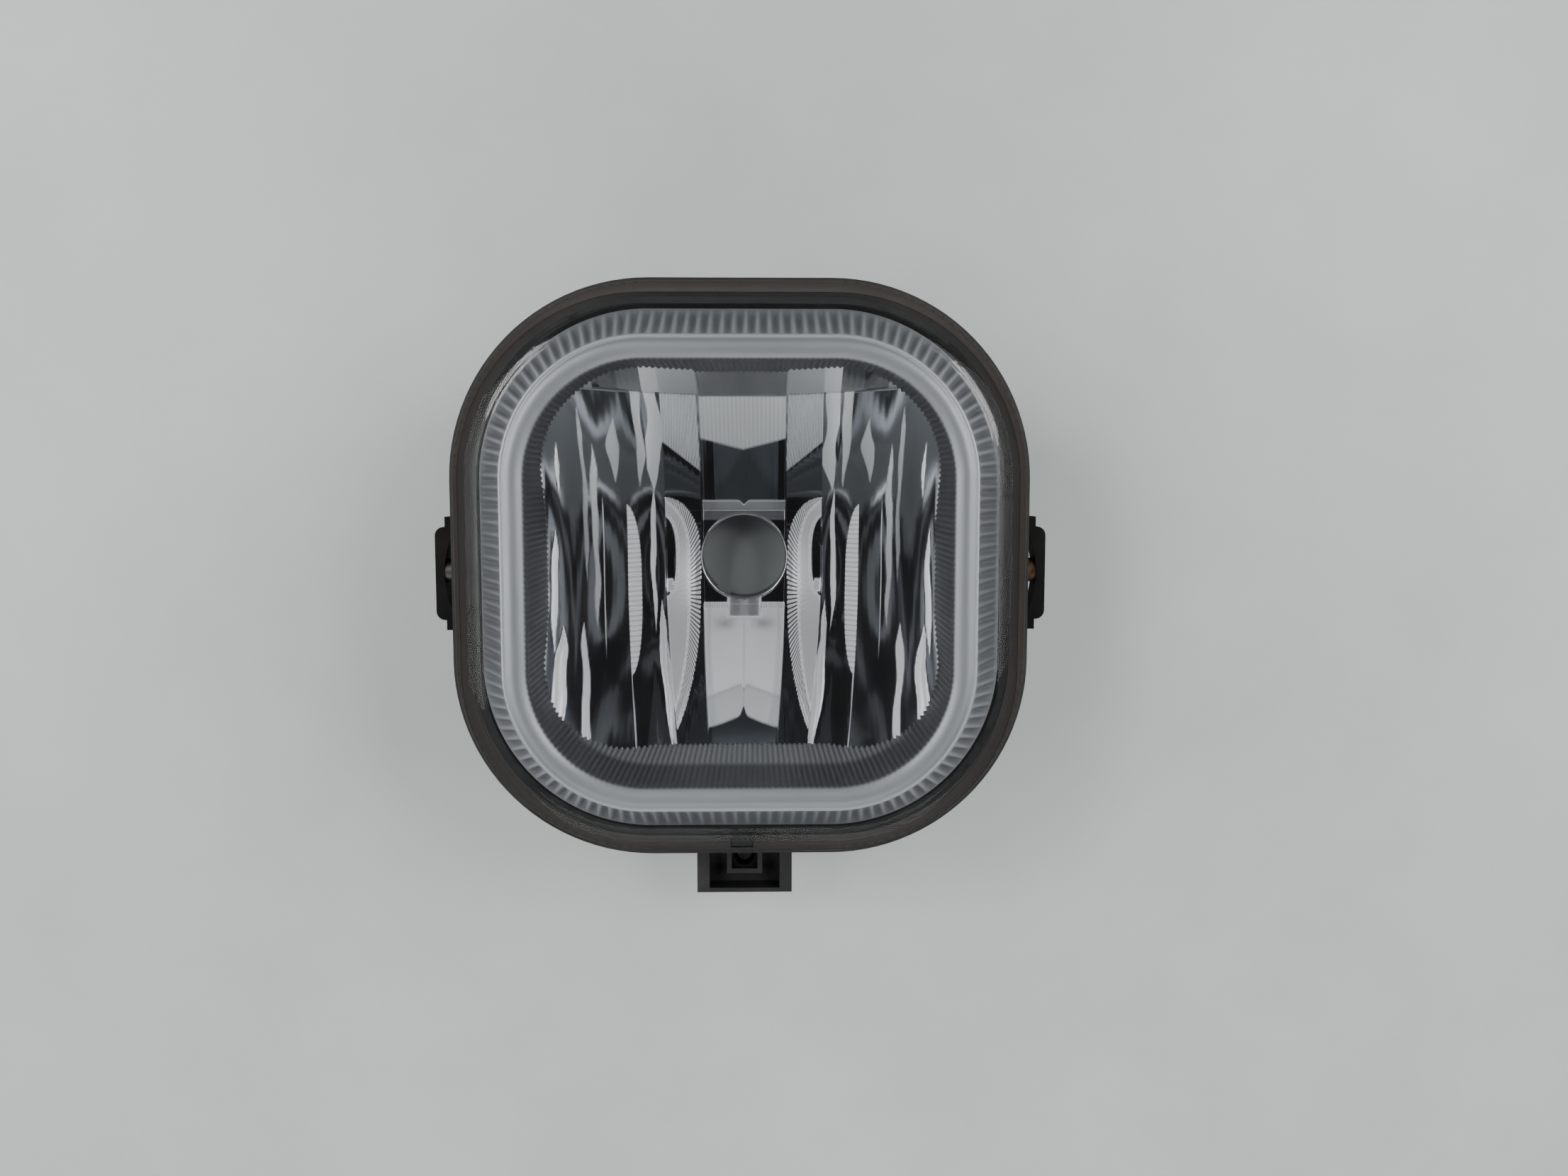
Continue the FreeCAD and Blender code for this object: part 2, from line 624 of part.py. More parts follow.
def pivot_shoe(side, name):
    """Arched shoe that turns on the pin, with a rounded pad that sits in the vehicle's bracket."""
    middle = -SIZES["shoe_drop"]
    level = SIZES["pivot_level"]
    low = level - SIZES["shoe_depth"] * 0.5
    high = level + SIZES["shoe_depth"] * 0.5
    half_base = SIZES["shoe_width"] * 0.5
    half_pad = SIZES["pad_width"] * 0.5
    foot = SIZES["shoe_foot"]
    face = SIZES["shoe_face"]

    def is_pad_end(spot):
        at_face = spot.x > face.number - 0.1
        at_end = abs(spot.y - middle.number) > half_pad.number - 0.1
        return at_face and at_end and abs(spot.z - level.number) < 0.1

    base = block((foot, middle - half_base, low), (SIZES["shoe_step"], middle + half_base, high))
    pad = block((foot, middle - half_pad, low), (face, middle + half_pad, high))
    pad = round_edges("ShoePad", pad, 1.8, is_pad_end)
    arch_radius = SIZES["arch_radius"]
    arch = cylinder(arch_radius, 20, SIZES["arch_top"] - arch_radius, middle, level - 10)
    bore_radius = SIZES["pin_radius"] + SIZES["running_gap"]
    bore = cylinder(bore_radius, 10, foot, -SIZES["pivot_drop"], level, AXIS_Y, 90)
    shoe = cut(name, fuse("ShoeBody", base, pad), arch, bore)
    if side > 0:
        return shoe
    mirrored = document.addObject("Part::Mirroring", name)
    mirrored.Source = shoe
    mirrored.Normal = AXIS_X
    return mirrored


def adjuster_nut():
    """Square nylon nut with a rear flange, in the lug's square socket."""
    half = SIZES["nut_side"] * 0.5
    seat = half + 1.5
    centre = -SIZES["screw_drop"]
    back = SIZES["lug_back"]
    body = block((-half, centre - half, back), (half, centre + half, SIZES["lug_front"] - 2.0))
    flange = block((-seat, centre - seat, back), (seat, centre + seat, back + SEAT_DEPTH))
    thread = cylinder(SIZES["screw_radius"] + SIZES["running_gap"], 20, y=centre, z=back - 2)
    return cut("adjuster_nut", fuse("NutBody", body, flange), thread)


def aim_screw():
    """Aiming screw with a flanged hex-socket head at the rear."""
    head = SIZES["screw_head"]
    radius = SIZES["screw_radius"]
    tip = SIZES["screw_tip"] - head
    head_radius = 4.2
    head_height = 3.0
    bevel = 0.6
    point = 0.8
    profile = (
        (0, 0),
        (head_radius - bevel, 0),
        (head_radius, bevel),
        (head_radius, head_height),
        (radius, head_height),
        (radius, tip - point),
        (radius - point, tip),
        (0, tip),
    )
    body = turned("aim_screw", profile)
    sketch = body.newObject("Sketcher::SketchObject", "HexSocket")
    sketch.AttachmentSupport = [(origin_plane(body, "XY_Plane"), "")]
    sketch.MapMode = "FlatFace"
    corner = 2.3
    turns = [math.radians(60 * i) for i in range(6)]
    hexagon = [(round(corner * math.cos(turn), 4), round(corner * math.sin(turn), 4)) for turn in turns]
    draw_polygon(sketch, hexagon)
    document.recompute()
    pocket = body.newObject("PartDesign::Pocket", "HexPocket")
    pocket.Profile = sketch
    pocket.Reversed = True
    pocket.Length = 2.2
    return place(body, y=-SIZES["screw_drop"], z=head)


def screw_retainer():
    """Grommet on the screw's shank, whose waist snaps into the bracket's slot."""
    bore = SIZES["screw_radius"] + SIZES["running_gap"]
    profile = (
        (bore, 3.1), (6.2, 3.1), (6.2, 4.1), (4.2, 4.1), (4.2, 5.0), (5.4, 5.0), (5.4, 5.9), (bore, 5.9),
    )
    return place(turned("screw_retainer", profile), y=-SIZES["screw_drop"], z=SIZES["screw_head"])


def push_nut():
    """Push-on steel ring that keeps the grommet against the screw's head."""
    radius = SIZES["screw_radius"]
    return place(
        turned("push_nut", ((radius, 6.0), (4.6, 6.0), (4.6, 6.5), (radius, 6.5))),
        y=-SIZES["screw_drop"],
        z=SIZES["screw_head"],
    )


def vent_cap(side, name):
    """Rubber cap over a breather nipple."""
    profile = (
        (0, 0), (4.8, 0), (5.4, 0.6), (5.4, 6.0), (4.6, 6.8), (3.6, 6.8), (3.6, 3.0), (2.4, 1.4), (0, 1.4),
    )
    return place(turned(name, profile), SIZES["vent_place_x"] * side, SIZES["vent_place_y"], 3.0)


def vent_filter(side, name):
    """Foam plug in a breather nipple."""
    length = 4.0
    profile = ((0, 0), (NIPPLE_BORE, 0), (NIPPLE_BORE, length), (0, length))
    return place(turned(name, profile), SIZES["vent_place_x"] * side, SIZES["vent_place_y"], 7.0)


NODES = {
    "front_lens": front_lens(),
    "lens_bead": lens_bead(),
    "bezel_ring": bezel_ring(),
    "reflector": reflector(),
    "reflector_screws": reflector_screws(),
    "housing": housing(),
    "neck_gasket": neck_gasket(),
    "bulb_collar": bulb_collar(),
    "left_pivot_pin": pivot_pin(-1, "left_pivot_pin"),
    "right_pivot_pin": pivot_pin(1, "right_pivot_pin"),
    "left_pivot_washer": pivot_washer(-1, "left_pivot_washer"),
    "right_pivot_washer": pivot_washer(1, "right_pivot_washer"),
    "left_pivot_shoe": pivot_shoe(-1, "left_pivot_shoe"),
    "right_pivot_shoe": pivot_shoe(1, "right_pivot_shoe"),
    "adjuster_nut": adjuster_nut(),
    "aim_screw": aim_screw(),
    "screw_retainer": screw_retainer(),
    "push_nut": push_nut(),
    "left_vent_cap": vent_cap(-1, "left_vent_cap"),
    "right_vent_cap": vent_cap(1, "right_vent_cap"),
    "left_vent_filter": vent_filter(-1, "left_vent_filter"),
    "right_vent_filter": vent_filter(1, "right_vent_filter"),
}

document.recompute()
broken = [item.Label for item in document.Objects if "Invalid" in item.State or "Error" in item.State]
if broken:
    raise RuntimeError(f"objects that failed: {broken}")

for node, item in NODES.items():
    shape = item.Shape
    if shape.isNull() or not shape.isValid():
        raise RuntimeError(f"{node} has no valid shape")
    item.Label = node
    shape.exportStep(os.path.join("parts", f"{node}.step"))
    print(f"{node}: {len(shape.Solids)} solids, {shape.Volume / 1000.0:.2f} cm3")
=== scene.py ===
import json
import math

import bpy
import numpy as np
from mathutils import Matrix, Vector


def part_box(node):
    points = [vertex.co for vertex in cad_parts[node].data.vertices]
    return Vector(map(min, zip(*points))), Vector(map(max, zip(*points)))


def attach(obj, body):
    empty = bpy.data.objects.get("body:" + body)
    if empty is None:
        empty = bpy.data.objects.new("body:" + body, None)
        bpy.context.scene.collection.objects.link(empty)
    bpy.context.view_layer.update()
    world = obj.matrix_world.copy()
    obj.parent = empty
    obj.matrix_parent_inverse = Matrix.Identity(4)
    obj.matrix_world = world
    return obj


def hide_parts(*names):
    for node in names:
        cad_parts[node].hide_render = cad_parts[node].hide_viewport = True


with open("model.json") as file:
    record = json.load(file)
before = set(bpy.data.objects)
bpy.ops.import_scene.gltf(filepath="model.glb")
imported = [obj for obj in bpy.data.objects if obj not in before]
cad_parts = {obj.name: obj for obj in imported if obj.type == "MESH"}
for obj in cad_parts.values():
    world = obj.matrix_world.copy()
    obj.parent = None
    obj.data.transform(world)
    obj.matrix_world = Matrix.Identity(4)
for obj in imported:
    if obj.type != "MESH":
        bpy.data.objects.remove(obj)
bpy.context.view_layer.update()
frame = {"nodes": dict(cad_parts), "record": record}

# A rounded-square fog lamp lying on its back on a pale table, lens up.
# Lengths are in metres; +Z is the optical axis, +Y is the lamp's top edge.

MM = 0.001
NODES = frame["nodes"]
LENS_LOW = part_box("front_lens")[0]
BEZEL_LOW, BEZEL_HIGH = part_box("bezel_ring")
MIRROR_LOW, MIRROR_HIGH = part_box("reflector")

# ---------------------------------------------------------------- sizes taken from the frame

FLAT = 17.5 * MM                       # half length of the straight part of each side
FLANGE_BACK = LENS_LOW[2]
FLANGE_FRONT = FLANGE_BACK + 2.6 * MM
BEZEL_FOOT = BEZEL_LOW[2]
BEZEL_TOP = BEZEL_HIGH[2]
FLOOR_OF_MIRROR = MIRROR_LOW[2] + 1.5 * MM
MOUTH = MIRROR_HIGH[2]


# ---------------------------------------------------------------- mesh helpers

def new_object(name, vertices, faces, material):
    """Smooth mesh object from vertices and faces."""
    mesh = bpy.data.meshes.new(name)
    mesh.from_pydata([tuple(v) for v in vertices], [], faces)
    mesh.materials.append(material)
    mesh.update()
    mesh.polygons.foreach_set("use_smooth", [True] * len(mesh.polygons))
    piece = bpy.data.objects.new(name, mesh)
    bpy.context.scene.collection.objects.link(piece)
    return piece


def grid_faces(rows, columns, closed=False, keep=None):
    """Quads between rows of points, closed around where asked, and only between points that are kept."""
    faces = []
    last = columns if closed else columns - 1
    for i in range(rows - 1):
        for j in range(last):
            k = (j + 1) % columns
            corners = ((i, j), (i, k), (i + 1, k), (i + 1, j))
            if keep is None or all(keep[corner] for corner in corners):
                faces.append(tuple(row * columns + column for row, column in corners))
    return faces


def drop_loose(vertices, faces, values):
    """Leave out the vertices that no face uses, and the values painted on them."""
    used = sorted({corner for face in faces for corner in face})
    place = {old: new for new, old in enumerate(used)}
    faces = [tuple(place[corner] for corner in face) for face in faces]
    return [vertices[n] for n in used], faces, [values[n] for n in used]


def ring_stations(straight, corner):
    """Directions around a rounded square: each a side, a place along it and an angle round its corner."""
    stations = []
    for quarter in range(4):
        for i in range(straight):
            stations.append((quarter, i / straight * 2 - 1, 0.0, quarter + 0.5 * i / straight))
        for i in range(corner):
            stations.append((quarter, 1.0, i / corner * math.pi / 2, quarter + 0.5 + 0.5 * i / corner))
    return stations


def ring_points(stations, half, flat):
    """Points of a rounded square at given stations; half and flat may differ between stations."""
    half = np.broadcast_to(np.asarray(half, dtype=float), len(stations))
    flat = np.broadcast_to(np.asarray(flat, dtype=float), len(stations))
    points = np.empty((len(stations), 2))
    for n, (quarter, along, angle, _) in enumerate(stations):
        radius = half[n] - flat[n]
        x = flat[n] + radius * math.cos(angle)
        y = along * flat[n] + radius * math.sin(angle)
        turn = quarter * math.pi / 2
        points[n] = (x * math.cos(turn) - y * math.sin(turn), x * math.sin(turn) + y * math.cos(turn))
    return points


def ring_surface(name, stations, profile, material):
    """Surface through rounded squares, one for each (half, flat, level) of a profile."""
    rows = []
    for half, flat, level in profile:
        plane = ring_points(stations, half, flat)
        height = np.broadcast_to(np.asarray(level, dtype=float), len(stations))
        rows.append(np.column_stack((plane, height)))
    vertices = np.concatenate(rows)
    return new_object(name, vertices, grid_faces(len(rows), len(stations), closed=True), material)


def paint(piece, name, values):
    """Store one number per vertex for the materials to read."""
    layer = piece.data.attributes.new(name, "FLOAT", "POINT")
    layer.data.foreach_set("value", np.asarray(values, dtype=np.float32).ravel())


def smooth_step(low, high, value):
    """0 below low, 1 above high, and a soft rise between."""
    t = np.clip((np.asarray(value, dtype=float) - low) / (high - low), 0.0, 1.0)
    return t * t * (3 - 2 * t)


def between(low, high, value, soft):
    """1 inside an interval and 0 outside it, with soft ends."""
    return smooth_step(low - soft, low + soft, value) * (1 - smooth_step(high - soft, high + soft, value))


# ---------------------------------------------------------------- material helpers

def new_material(name):
    """Empty node material, its nodes and its output."""
    material = bpy.data.materials.new(name)
    material.use_nodes = True
    nodes = material.node_tree.nodes
    nodes.clear()
    output = nodes.new("ShaderNodeOutputMaterial")
    return material, nodes, material.node_tree.links, output


def object_noise(nodes, links, scale, detail, roughness):
    """Noise in object coordinates."""
    where = nodes.new("ShaderNodeTexCoord")
    noise = nodes.new("ShaderNodeTexNoise")
    noise.inputs["Scale"].default_value = scale
    noise.inputs["Detail"].default_value = detail
    noise.inputs["Roughness"].default_value = roughness
    links.new(where.outputs["Object"], noise.inputs["Vector"])
    return noise


def ramp(nodes, links, source, stops):
    """Colour ramp of a value; each stop is a place and a colour."""
    node = nodes.new("ShaderNodeValToRGB")
    elements = node.color_ramp.elements
    while len(elements) < len(stops):
        elements.new(0.5)
    for element, (place, colour) in zip(elements, stops):
        element.position = place
        element.color = (*colour, 1.0)
    links.new(source, node.inputs["Fac"])
    return node


def bump(nodes, links, height, strength, distance):
    """Fine relief from a height value."""
    node = nodes.new("ShaderNodeBump")
    node.inputs["Strength"].default_value = strength
    node.inputs["Distance"].default_value = distance
    links.new(height, node.inputs["Height"])
    return node


def mix(nodes, links, share, first, second):
    """Mix of two shaders; the share says how much of the second one shows."""
    node = nodes.new("ShaderNodeMixShader")
    links.new(share, node.inputs["Fac"])
    links.new(first, node.inputs[1])
    links.new(second, node.inputs[2])
    return node.outputs["Shader"]


def grey(value):
    """Neutral colour of a brightness."""
    return (value, value, value)


def plastic(name, colour, dusty, rough=(0.35, 0.6), grain=900.0, dust=0.55, shine=0.25):
    """Moulded plastic or rubber: fine grain, uneven gloss and a little dust."""
    material, nodes, links, output = new_material(name)
    shader = nodes.new("ShaderNodeBsdfPrincipled")
    shader.inputs["Specular IOR Level"].default_value = shine
    patches = object_noise(nodes, links, 60.0, 6.0, 0.6)
    colours = ramp(nodes, links, patches.outputs["Fac"], ((dust - 0.12, colour), (dust + 0.25, dusty)))
    links.new(colours.outputs["Color"], shader.inputs["Base Color"])
    gloss = object_noise(nodes, links, 140.0, 4.0, 0.6)
    sheen = ramp(nodes, links, gloss.outputs["Fac"], ((0.3, grey(rough[0])), (0.7, grey(rough[1]))))
    links.new(sheen.outputs["Color"], shader.inputs["Roughness"])
    fine = object_noise(nodes, links, grain, 3.0, 0.6)
    relief = bump(nodes, links, fine.outputs["Fac"], 0.25, 0.0002)
    links.new(relief.outputs["Normal"], shader.inputs["Normal"])
    links.new(shader.outputs["BSDF"], output.inputs["Surface"])
    return material


def metal(name, dark, bright, rough, scale=120.0, relief_depth=0.00005):
    """Bare or plated metal with uneven tint and gloss."""
    material, nodes, links, output = new_material(name)
    shader = nodes.new("ShaderNodeBsdfPrincipled")
    shader.inputs["Metallic"].default_value = 1.0
    tint = object_noise(nodes, links, scale, 5.0, 0.6)
    colours = ramp(nodes, links, tint.outputs["Fac"], ((0.3, dark), (0.7, bright)))
    links.new(colours.outputs["Color"], shader.inputs["Base Color"])
    gloss = ramp(nodes, links, tint.outputs["Fac"], ((0.25, grey(rough[1])), (0.75, grey(rough[0]))))
    links.new(gloss.outputs["Color"], shader.inputs["Roughness"])
    relief = bump(nodes, links, tint.outputs["Fac"], 0.3, relief_depth)
    links.new(relief.outputs["Normal"], shader.inputs["Normal"])
    links.new(shader.outputs["BSDF"], output.inputs["Surface"])
    return material


def vertex_value(nodes, name):
    """A number that the mesh holds for each vertex."""
    node = nodes.new("ShaderNodeAttribute")
    node.attribute_type = "GEOMETRY"
    node.attribute_name = name
    return node.outputs["Fac"]


def mirror_metal():
    """Vacuum-metallised mirror whose light and dark are painted per vertex: a low value darkens it into a
    painted dark reflection, a high value whitens it into a painted highlight. Where its facets are finely
    ribbed it scatters light like satin.
    """
    material, nodes, links, output = new_material("bright_metallised")
    shader = nodes.new("ShaderNodeBsdfPrincipled")
    shader.inputs["Metallic"].default_value = 1.0
    satin_and_painted_light = vertex_value(nodes, "satin_and_painted_light")
    # tint by the vertex value: near 0 a painted dark reflection, at 1 a painted white highlight
    tints = (
        (0.0, (0.055, 0.061, 0.070)), (0.2, (0.36, 0.37, 0.39)),
        (0.6, (0.72, 0.73, 0.73)), (1.0, grey(0.98)),
    )
    tint = ramp(nodes, links, satin_and_painted_light, tints)
    links.new(tint.outputs["Color"], shader.inputs["Base Color"])
    glosses = ((0.0, grey(0.05)), (0.35, grey(0.25)), (0.8, grey(0.42)), (1.0, grey(0.16)))
    gloss = ramp(nodes, links, satin_and_painted_light, glosses)
    links.new(gloss.outputs["Color"], shader.inputs["Roughness"])
    shares = ((0.0, grey(1.0)), (0.4, grey(0.8)), (0.8, grey(0.35)), (1.0, grey(0.55)))
    mirrored = ramp(nodes, links, satin_and_painted_light, shares)
    links.new(mirrored.outputs["Color"], shader.inputs["Metallic"])
    where = nodes.new("ShaderNodeTexCoord")
    ribs = nodes.new("ShaderNodeTexWave")
    ribs.wave_type = "BANDS"
    ribs.bands_direction = "X"
    ribs.inputs["Scale"].default_value = 260.0
    ribs.inputs["Distortion"].default_value = 0.6
    links.new(where.outputs["Object"], ribs.inputs["Vector"])
    relief = bump(nodes, links, ribs.outputs["Fac"], 0.05, 0.00004)
    links.new(relief.outputs["Normal"], shader.inputs["Normal"])
    links.new(shader.outputs["BSDF"], output.inputs["Surface"])
    return material


def satin_metal():
    """Satin metallised trim with painted light and shade: its vertex tone paints the crest and ribs brighter
    and the valleys and throat darker.
    """
    material, nodes, links, output = new_material("satin_metallised")
    shader = nodes.new("ShaderNodeBsdfPrincipled")
    shader.inputs["Metallic"].default_value = 0.6
    tone = vertex_value(nodes, "tone")
    # tint by the painted tone: dark end as painted shade, bright end as painted highlight
    tints = ((0.0, (0.022, 0.024, 0.028)), (0.5, (0.24, 0.245, 0.255)), (1.0, (0.66, 0.66, 0.66)))
    tint = ramp(nodes, links, tone, tints)
    links.new(tint.outputs["Color"], shader.inputs["Base Color"])
    patches = object_noise(nodes, links, 30.0, 5.0, 0.6)
    gloss = ramp(nodes, links, patches.outputs["Fac"], ((0.3, grey(0.42)), (0.75, grey(0.52))))
    links.new(gloss.outputs["Color"], shader.inputs["Roughness"])
    links.new(shader.outputs["BSDF"], output.inputs["Surface"])
    return material


FLANGE_LAYER = 0.075                          # share of a faint brownish diffuse layer over the lens flange's front face
FLANGE_LAYER_REACH = 2 * MM                   # how far from the flange's front face the layer is looked for


def flange_layer_share(nodes, links):
    """Share of the brownish layer by height: all of it at the front face of the lens flange, and none
    elsewhere.
    """
    where = nodes.new("ShaderNodeTexCoord")
    split = nodes.new("ShaderNodeSeparateXYZ")
    links.new(where.outputs["Object"], split.inputs["Vector"])
    level = nodes.new("ShaderNodeMapRange")
    level.inputs["From Min"].default_value = FLANGE_FRONT - FLANGE_LAYER_REACH
    level.inputs["From Max"].default_value = FLANGE_FRONT + FLANGE_LAYER_REACH
    links.new(split.outputs["Z"], level.inputs["Value"])
    layer_stops = ((0.40, grey(0.0)), (0.46, grey(FLANGE_LAYER)), (0.54, grey(FLANGE_LAYER)), (0.60, grey(0.0)))
    return ramp(nodes, links, level.outputs["Result"], layer_stops)


def clear_plastic():
    """Clear moulding: see-through face on, darker edge on, with gloss, scuffs, dust and a faint brownish
    layer on the flange's front face.
    """
    material, nodes, links, output = new_material("clear_lens")
    material.surface_render_method = "BLENDED"
    slant = nodes.new("ShaderNodeLayerWeight")
    slant.inputs["Blend"].default_value = 0.5
    depths = (
        (0.0, (0.965, 0.972, 0.975)), (0.6, (0.93, 0.94, 0.945)),
        (0.84, (0.80, 0.81, 0.82)), (0.96, grey(0.18)),
    )
    depth = ramp(nodes, links, slant.outputs["Facing"], depths)
    through = nodes.new("ShaderNodeBsdfTransparent")
    links.new(depth.outputs["Color"], through.inputs["Color"])
    gloss = nodes.new("ShaderNodeBsdfGlossy")
    scuffs = object_noise(nodes, links, 300.0, 6.0, 0.7)
    rough = ramp(nodes, links, scuffs.outputs["Fac"], ((0.45, grey(0.03)), (0.8, grey(0.14))))
    links.new(rough.outputs["Color"], gloss.inputs["Roughness"])
    shines = (
        (0.0, grey(0.030)), (0.10, grey(0.010)), (0.25, grey(0.004)),
        (0.7, grey(0.003)), (1.0, grey(0.0015)),
    )
    shine = ramp(nodes, links, slant.outputs["Facing"], shines)
    clear = mix(nodes, links, shine.outputs["Color"], through.outputs["BSDF"], gloss.outputs["BSDF"])
    dust = nodes.new("ShaderNodeBsdfDiffuse")
    dust.inputs["Color"].default_value = (0.40, 0.395, 0.39, 1.0)
    specks = object_noise(nodes, links, 90.0, 8.0, 0.72)
    amounts = ((0.45, grey(0.004)), (0.66, grey(0.007)), (0.8, grey(0.05)))
    amount = ramp(nodes, links, specks.outputs["Fac"], amounts)
    dusty = mix(nodes, links, amount.outputs["Color"], clear, dust.outputs["BSDF"])
    # faint brownish diffuse layer over the flange's front face
    brown_layer = nodes.new("ShaderNodeBsdfDiffuse")
    brown_layer.inputs["Color"].default_value = (0.30, 0.265, 0.24, 1.0)
    share = flange_layer_share(nodes, links)
    layered = mix(nodes, links, share.outputs["Color"], dusty, brown_layer.outputs["BSDF"])
    links.new(layered, output.inputs["Surface"])
    return material


def table_top():
    """Pale painted table with faint wear and a fine grain."""
    material, nodes, links, output = new_material("table_top")
    shader = nodes.new("ShaderNodeBsdfPrincipled")
    wear = object_noise(nodes, links, 14.0, 8.0, 0.65)
    paints = ((0.3, (0.262, 0.276, 0.276)), (0.7, (0.300, 0.313, 0.312)))
    tone = ramp(nodes, links, wear.outputs["Fac"], paints)
    links.new(tone.outputs["Color"], shader.inputs["Base Color"])
    shader.inputs["Roughness"].default_value = 0.55
    grain = object_noise(nodes, links, 220.0, 4.0, 0.6)
    relief = bump(nodes, links, grain.outputs["Fac"], 0.2, 0.0003)
    links.new(relief.outputs["Normal"], shader.inputs["Normal"])
    links.new(shader.outputs["BSDF"], output.inputs["Surface"])
    return material


MATERIALS = {
    "sealant": plastic("sealant", grey(0.004), grey(0.012), (0.45, 0.6)),
    "black_plastic": plastic(
        "black_plastic", (0.0045, 0.0045, 0.005), (0.02, 0.018, 0.015), (0.45, 0.65), dust=0.62,
    ),
    "black_nylon": plastic(
        "black_nylon", (0.0022, 0.0021, 0.002), (0.008, 0.007, 0.006), (0.6, 0.8), dust=0.62, shine=0.08,
    ),
    "pale_nylon": plastic("pale_nylon", (0.52, 0.50, 0.43), (0.62, 0.60, 0.54), (0.35, 0.5)),
    "grey_thermoset": plastic("grey_thermoset", (0.10, 0.10, 0.105), (0.17, 0.17, 0.17), (0.45, 0.65)),
    "black_rubber": plastic("black_rubber", (0.018, 0.018, 0.019), (0.06, 0.058, 0.055), (0.55, 0.8)),
    "foam": plastic("foam", (0.05, 0.05, 0.055), (0.09, 0.09, 0.09), (0.8, 0.95), grain=1800.0),
    "zinc_steel": metal("zinc_steel", (0.20, 0.20, 0.19), (0.40, 0.40, 0.37), (0.3, 0.48)),
    "dark_steel": metal("dark_steel", (0.020, 0.019, 0.018), (0.06, 0.058, 0.055), (0.4, 0.6), 300.0),
    "rusty_steel": metal(
        "rusty_steel", (0.03, 0.017, 0.011), (0.11, 0.066, 0.04), (0.5, 0.85), 420.0, relief_depth=0.0002,
    ),
    "satin_metallised": satin_metal(),
    "bright_metallised": mirror_metal(),
    "clear_lens": clear_plastic(),
}


# ---------------------------------------------------------------- bezel ring

FLUTES_ON_SIDE = 16                    # flutes of the flank: along each side, and round each corner
FLUTES_AT_CORNER = 21
FINE_FLUTES = 32                       # flutes of the throat, along each side and round each corner
COLUMNS_PER_FLUTE = 12
BEZEL_STATIONS = ring_stations(FLUTES_ON_SIDE * COLUMNS_PER_FLUTE, FLUTES_AT_CORNER * COLUMNS_PER_FLUTE)

FOOT_HALF = 49.9 * MM                  # half widths of the ring, from its foot to its throat
FLANK_HALF = 50.05 * MM
SHOULDER_HALF = 44.1 * MM
THROAT_HALF = 39.35 * MM
FLANK_LOW = FLANGE_FRONT + 0.4 * MM    # levels of the same places
SHOULDER = BEZEL_TOP - 1.0 * MM
THROAT_TOP = BEZEL_TOP - 0.9 * MM
THROAT_END = MOUTH - 7.5 * MM
BORDER = ((43.95, -0.72), (43.8, -0.5), (43.55, -0.42), (43.4, -0.5))     # half width and level, in mm
CREST = (
    (43.25, -0.55), (42.9, -0.28), (42.4, -0.1), (41.8, 0.0),
    (41.1, -0.06), (40.4, -0.25), (39.8, -0.55),
)
FLUTE_DEPTH = 0.75 * MM
FINE_DEPTH = 0.3 * MM
THROAT_LEAN = 2.9 * MM                 # how far the throat's bottom side comes in towards the mirror
THROAT_TUCK = 1.2 * MM                 # and how much shorter its straight part gets
BEZEL_WALL = 0.5 * MM
FLANK_STEPS = 14
THROAT_STEPS = 20

FLANK_SHADE_TONE = 0.20                      # tones that satin_metal reads, from black to bright; they paint light and shade onto the ring
SIDE_RIB_HIGHLIGHT_TONE = 0.31
RIB_HIGHLIGHT_TONE = 0.56
BORDER_TONE = 0.5
CREST_TONE = 0.33
THROAT_SHADE_TONE = 0.09


def flute_wave(stations, count_straight, count_corner):
    """Rounded ribs around the ring, 0 in a valley and 1 on a rib."""
    wave = np.empty(len(stations))
    for n, (_, _, _, place) in enumerate(stations):
        part = place % 1.0
        count = part * 2 * count_straight if part < 0.5 else (part - 0.5) * 2 * count_corner
        wave[n] = 0.5 - 0.5 * math.cos(2 * math.pi * count)
    return wave


def throat_lean(stations):
    """How much of the throat's lean each station has: all of it at the bottom side, none at the top."""
    directions = [quarter * math.pi / 2 + angle for quarter, _, angle, _ in stations]
    return np.array([max(0.0, -math.sin(direction)) ** 1.6 for direction in directions])


def painted_rib_highlights(stations):
    """Painted highlight tone of the ribs round the ring: brightest at the corners and along the top, softest
    at the sides.
    """
    corners = np.array([math.sin(2 * angle) ** 0.5 if angle > 0 else 0.0 for _, _, angle, _ in stations])
    facing_up = [max(0.0, math.sin(quarter * math.pi / 2 + angle)) for quarter, _, angle, _ in stations]
    painted_lightness = np.maximum(corners, 0.8 * np.array(facing_up))
    return SIDE_RIB_HIGHLIGHT_TONE + (RIB_HIGHLIGHT_TONE - SIDE_RIB_HIGHLIGHT_TONE) * painted_lightness


